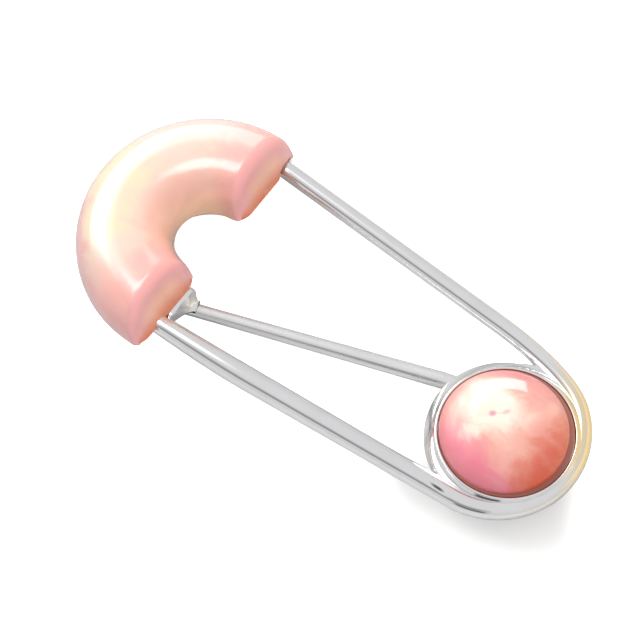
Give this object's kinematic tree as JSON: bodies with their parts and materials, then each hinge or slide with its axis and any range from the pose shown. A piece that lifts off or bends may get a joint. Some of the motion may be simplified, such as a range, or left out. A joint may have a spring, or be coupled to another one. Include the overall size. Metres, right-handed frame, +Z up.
{
  "type": "safety pin brooch",
  "caption": "Oversized safety pin brooch: a bent wire frame joins a domed half-ring stone to a round cabochon in a cup, with a hinged pin that locks into a catch behind the half ring",
  "frame": {"origin": "centre of the box that encloses the brooch in plan, on the surface that it lies on", "axes": "+X from the half ring to the round stone, +Y towards the longer wire leg, +Z up from the back to the stones' front"},
  "size_m": [0.056, 0.026, 0.0088],
  "materials": {
    "white_metal": "polished",
    "pin_metal": "polished",
    "crescent_stone": "polished",
    "round_stone": "polished"
  },
  "bodies": {
    "brooch": {"frame": "white_metal", "crescent_stone": "crescent_stone", "round_stone": "round_stone", "hinge_rivet": "white_metal"},
    "pin": {"pin_stem": "pin_metal"}
  },
  "joints": [
    {"name": "pin_swing", "type": "hinge", "parent": "brooch", "child": "pin", "pos_m": [0.01695, 0.00425, 0.00125], "axis": [0, 0, 1], "range_deg": [0, 60]}
  ]
}
